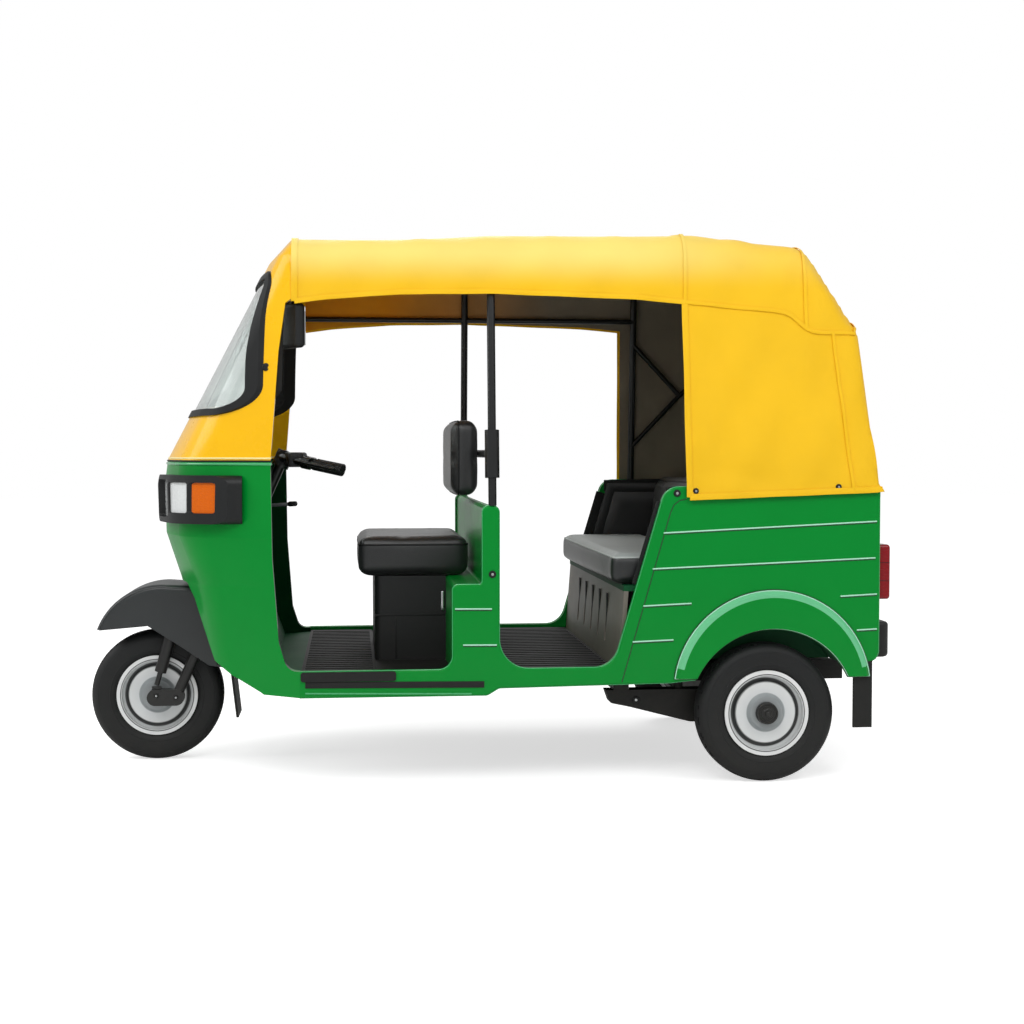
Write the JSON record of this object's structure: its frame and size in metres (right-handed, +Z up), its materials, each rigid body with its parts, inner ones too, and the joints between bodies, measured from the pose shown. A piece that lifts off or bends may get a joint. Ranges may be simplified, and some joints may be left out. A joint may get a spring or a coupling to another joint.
{
  "type": "auto rickshaw",
  "caption": "Open three-wheeled passenger vehicle with a steel nose and windscreen, driver's seat, rear bench, fabric hood, handlebar steering and rear engine lid.",
  "frame": {"origin": "on the ground under the middle of the overall length and width", "axes": "+X forward along the longest extent, +Y to the left side, +Z up"},
  "size_m": [2.635, 1.3, 1.7958],
  "materials": {
    "green_paint": "glossy green paint",
    "dark_green_paint": "dark green paint",
    "yellow_paint": "glossy yellow paint",
    "yellow_vinyl": "coated yellow hood cloth",
    "clear_glass": "clear laminated glass",
    "clear_sheet": "clear flexible sheet",
    "black_rubber": "matt black rubber",
    "black_plastic": "satin black plastic",
    "lamp_glass": "clear ribbed lamp glass",
    "amber_lens": "amber lens",
    "red_lens": "red lens",
    "black_paint": "satin black paint",
    "brown_paint": "satin dark brown paint",
    "black_leather": "black leathercloth",
    "grey_leather": "grey leathercloth",
    "cast_metal": "raw cast metal",
    "tyre": "black tyre rubber",
    "silver_paint": "silver paint",
    "black_steel": "dark steel"
  },
  "bodies": {
    "body": {"front_cowl": "green_paint", "side_panel_left": "green_paint", "side_panel_right": "green_paint", "rear_wings": "green_paint", "partition": "green_paint", "tail_panel": "green_paint", "toe_board": "dark_green_paint", "windscreen_surround": "yellow_paint", "hood_roof": "yellow_vinyl", "hood_curtain": "yellow_vinyl", "windscreen_glass": "clear_glass", "rear_window": "clear_sheet", "windscreen_seal": "black_rubber", "step_strips": "black_rubber", "floor_mats": "black_rubber", "rear_flaps": "black_rubber", "headlamp_bezels": "black_plastic", "dash_shelf": "black_plastic", "rear_bumper": "black_plastic", "mirrors": "black_plastic", "headlamp_lenses": "lamp_glass", "indicator_lenses": "amber_lens", "tail_lamps": "red_lens", "floor_pan": "black_paint", "frame_rails": "black_paint", "rear_deck": "black_paint", "driver_seat_box": "black_paint", "seat_riser": "brown_paint", "hood_frame": "black_paint", "rear_suspension": "black_paint", "driver_cushion": "black_leather", "driver_backrest": "black_leather", "rear_backrest": "black_leather", "side_trims": "black_leather", "rear_cushion": "grey_leather", "engine_block": "cast_metal"},
    "steering": {"steering_column": "black_paint", "front_fork": "black_paint", "front_mudguard": "black_paint", "front_flap": "black_rubber", "handlebar": "black_paint", "handlebar_grips": "black_rubber"},
    "front_wheel": {"front_tyre": "tyre", "front_rim": "silver_paint"},
    "rear_left_wheel": {"rear_left_tyre": "tyre", "rear_left_rim": "silver_paint", "rear_left_shaft": "black_steel"},
    "rear_right_wheel": {"rear_right_tyre": "tyre", "rear_right_rim": "silver_paint", "rear_right_shaft": "black_steel"},
    "engine_lid_body": {"engine_lid": "green_paint"}
  },
  "joints": [
    {"name": "steering", "type": "hinge", "parent": "body", "child": "steering", "pos_m": [1.0225, 0, 0.225], "axis": [-0.4067, 0, 0.9135], "range_deg": [-40, 40]},
    {"name": "front_wheel_spin", "type": "hinge", "parent": "steering", "child": "front_wheel", "pos_m": [1.0925, 0, 0.225], "axis": [0, 1, 0], "continuous": true},
    {"name": "rear_left_wheel_spin", "type": "hinge", "parent": "body", "child": "rear_left_wheel", "pos_m": [-0.9075, 0.575, 0.225], "axis": [0, 1, 0], "continuous": true},
    {"name": "rear_right_wheel_spin", "type": "hinge", "parent": "body", "child": "rear_right_wheel", "pos_m": [-0.9075, -0.575, 0.225], "axis": [0, 1, 0], "continuous": true},
    {"name": "engine_lid_hinge", "type": "hinge", "parent": "body", "child": "engine_lid_body", "pos_m": [-1.2825, 0, 0.854], "axis": [0, 1, 0], "range_deg": [0, 80]}
  ]
}
